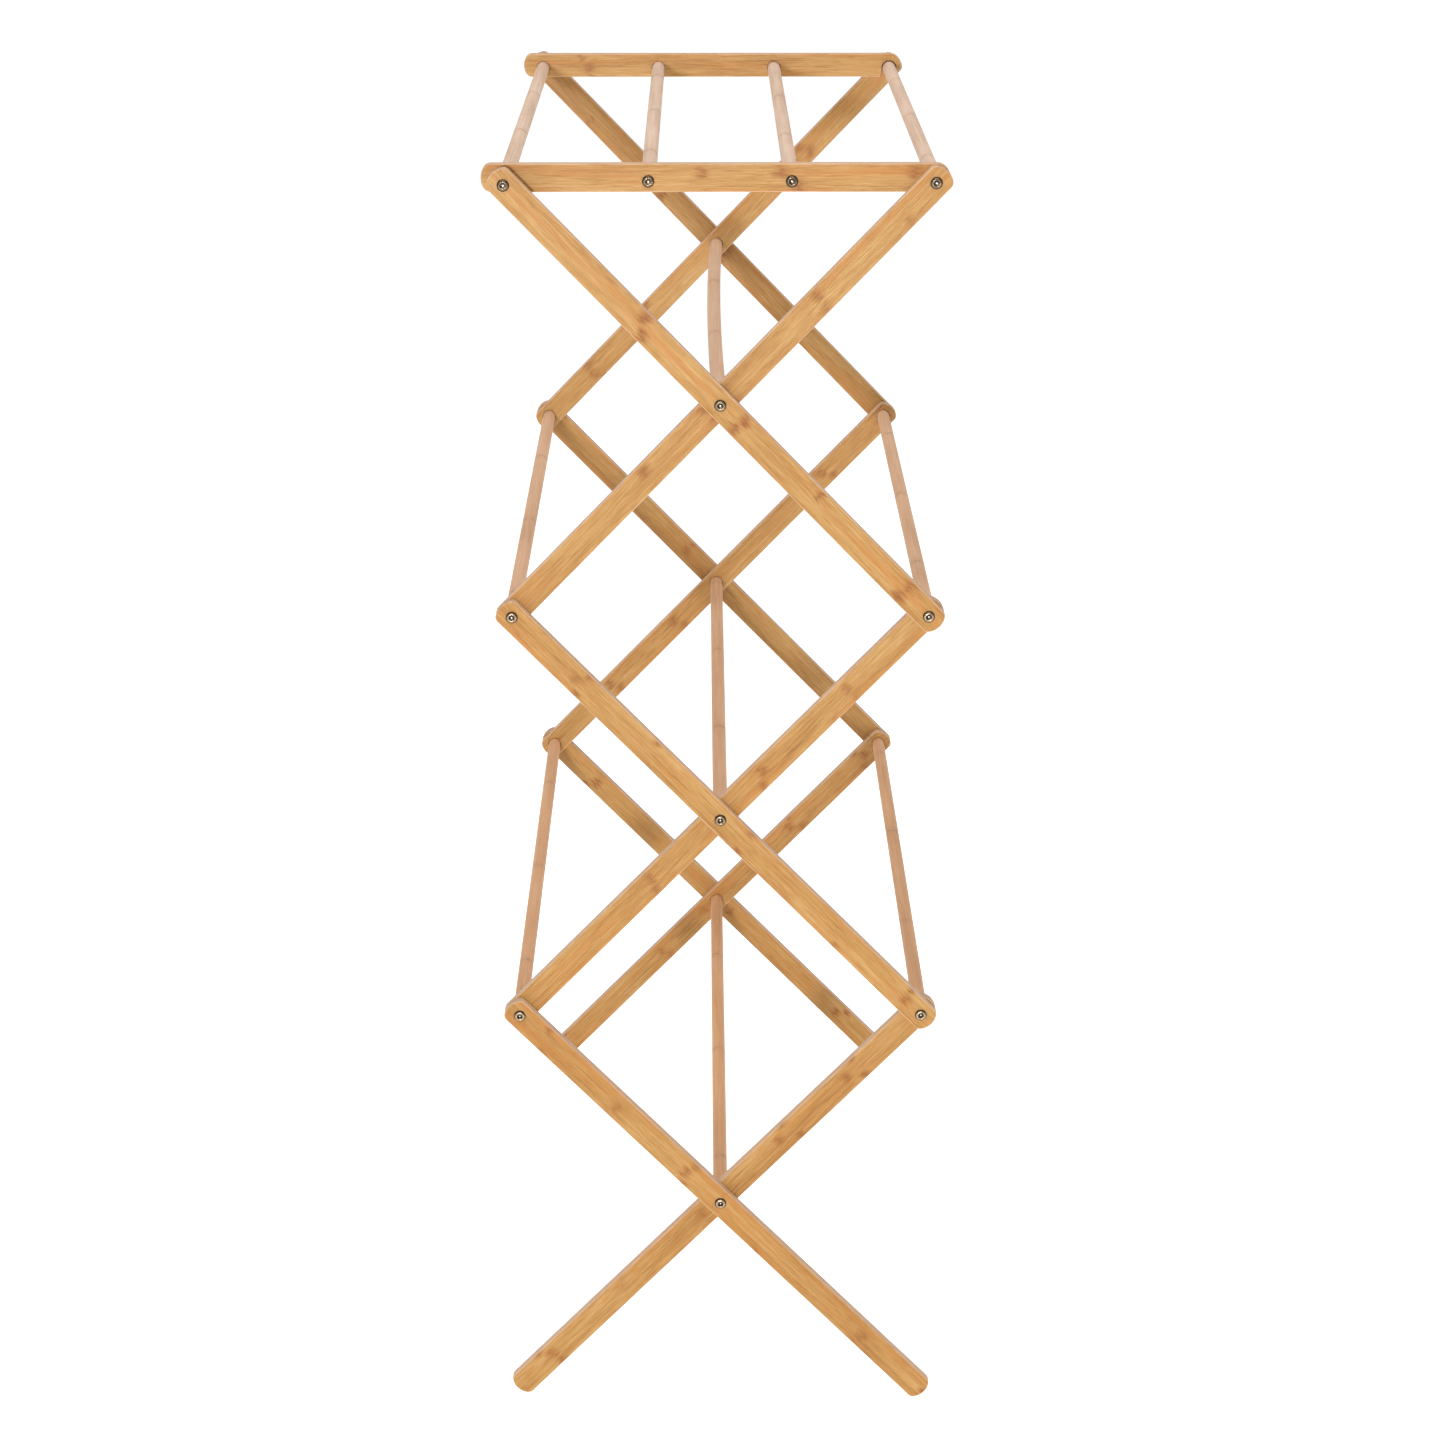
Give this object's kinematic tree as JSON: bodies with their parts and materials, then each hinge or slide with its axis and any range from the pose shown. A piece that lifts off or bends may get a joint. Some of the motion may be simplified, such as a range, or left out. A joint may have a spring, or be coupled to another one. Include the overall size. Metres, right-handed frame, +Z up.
{
  "type": "clothes drying rack",
  "caption": "Folding bamboo clothes drying rack: crossed arms form an accordion frame on each side, joined by round hanging rods, with a hinged top shelf that hooks over a rod to hold it open.",
  "frame": {"origin": "centre of the footprint on the floor, with the rack standing open", "axes": "+Z up, +X across the crossed arms towards the latch end of the top shelf, +Y along the rods from the front frame to the rear frame"},
  "size_m": [0.3633, 0.7258, 1.0582],
  "materials": {
    "bamboo_bar": "satin lacquered laminated bamboo, fine lengthwise fibres with scattered brown nodes",
    "bamboo_dowel": "smooth matt pale bamboo, faint node rings",
    "steel_screw": "dark antique nickel plating with a hexagon socket"
  },
  "bodies": {
    "centre_pivot": {"lower_centre_rod": "bamboo_dowel", "lower_centre_screw_front": "steel_screw", "lower_centre_screw_rear": "steel_screw"},
    "lower_outer_arms": {"lower_outer_arm_front": "bamboo_bar", "lower_outer_arm_rear": "bamboo_bar", "lower_left_rod": "bamboo_dowel", "lower_left_screw_front": "steel_screw", "lower_left_screw_rear": "steel_screw"},
    "lower_inner_arms": {"lower_inner_arm_front": "bamboo_bar", "lower_inner_arm_rear": "bamboo_bar"},
    "middle_outer_arms": {"middle_outer_arm_front": "bamboo_bar", "middle_outer_arm_rear": "bamboo_bar", "upper_left_rod": "bamboo_dowel", "upper_left_screw_front": "steel_screw", "upper_left_screw_rear": "steel_screw", "middle_centre_rod": "bamboo_dowel", "middle_centre_screw_front": "steel_screw", "middle_centre_screw_rear": "steel_screw", "lower_right_rod": "bamboo_dowel", "lower_right_screw_front": "steel_screw", "lower_right_screw_rear": "steel_screw"},
    "middle_inner_arms": {"middle_inner_arm_front": "bamboo_bar", "middle_inner_arm_rear": "bamboo_bar"},
    "upper_outer_arms": {"upper_outer_arm_front": "bamboo_bar", "upper_outer_arm_rear": "bamboo_bar", "top_left_rod": "bamboo_dowel", "top_left_screw_front": "steel_screw", "top_left_screw_rear": "steel_screw", "upper_centre_rod": "bamboo_dowel", "upper_centre_screw_front": "steel_screw", "upper_centre_screw_rear": "steel_screw", "upper_right_rod": "bamboo_dowel", "upper_right_screw_front": "steel_screw", "upper_right_screw_rear": "steel_screw"},
    "upper_inner_arms": {"upper_inner_arm_front": "bamboo_bar", "upper_inner_arm_rear": "bamboo_bar", "top_right_rod": "bamboo_dowel", "top_right_screw_front": "steel_screw", "top_right_screw_rear": "steel_screw"},
    "top_shelf": {"top_rail_front": "bamboo_bar", "top_rail_rear": "bamboo_bar", "top_second_rod": "bamboo_dowel", "top_second_screw_front": "steel_screw", "top_second_screw_rear": "steel_screw", "top_third_rod": "bamboo_dowel", "top_third_screw_front": "steel_screw", "top_third_screw_rear": "steel_screw"}
  },
  "joints": [
    {"name": "fold", "type": "hinge", "parent": "centre_pivot", "child": "lower_outer_arms", "pos_m": [0.00257, 0, 0.18498], "axis": [0, 1, 0], "range_deg": [0, 38.7]},
    {"name": "lower_inner_hinge", "type": "hinge", "parent": "centre_pivot", "child": "lower_inner_arms", "pos_m": [0.00257, 0, 0.18498], "axis": [0, 1, 0], "range_deg": [-38.7, 0]},
    {"name": "middle_outer_hinge", "type": "hinge", "parent": "lower_inner_arms", "child": "middle_outer_arms", "pos_m": [0.16859, 0, 0.3569], "axis": [0, 1, 0], "range_deg": [0, 77.4]},
    {"name": "middle_inner_hinge", "type": "hinge", "parent": "lower_outer_arms", "child": "middle_inner_arms", "pos_m": [-0.16345, 0, 0.3569], "axis": [0, 1, 0], "range_deg": [-77.4, 0]},
    {"name": "upper_outer_hinge", "type": "hinge", "parent": "middle_inner_arms", "child": "upper_outer_arms", "pos_m": [0.16859, 0, 0.70075], "axis": [0, 1, 0], "range_deg": [0, 77.4]},
    {"name": "upper_inner_hinge", "type": "hinge", "parent": "middle_outer_arms", "child": "upper_inner_arms", "pos_m": [-0.16345, 0, 0.70075], "axis": [0, 1, 0], "range_deg": [-77.4, 0]},
    {"name": "shelf_swing", "type": "hinge", "parent": "upper_outer_arms", "child": "top_shelf", "pos_m": [-0.16345, 0, 1.04459], "axis": [0, 1, 0], "range_deg": [-305.73, 0]}
  ],
  "couplings": [
    {"joint": "lower_inner_hinge", "follows": "fold", "ratio": -1},
    {"joint": "middle_outer_hinge", "follows": "fold", "ratio": 2},
    {"joint": "middle_inner_hinge", "follows": "fold", "ratio": -2},
    {"joint": "upper_outer_hinge", "follows": "fold", "ratio": 2},
    {"joint": "upper_inner_hinge", "follows": "fold", "ratio": -2},
    {"joint": "shelf_swing", "follows": "fold", "ratio": -7.9}
  ]
}
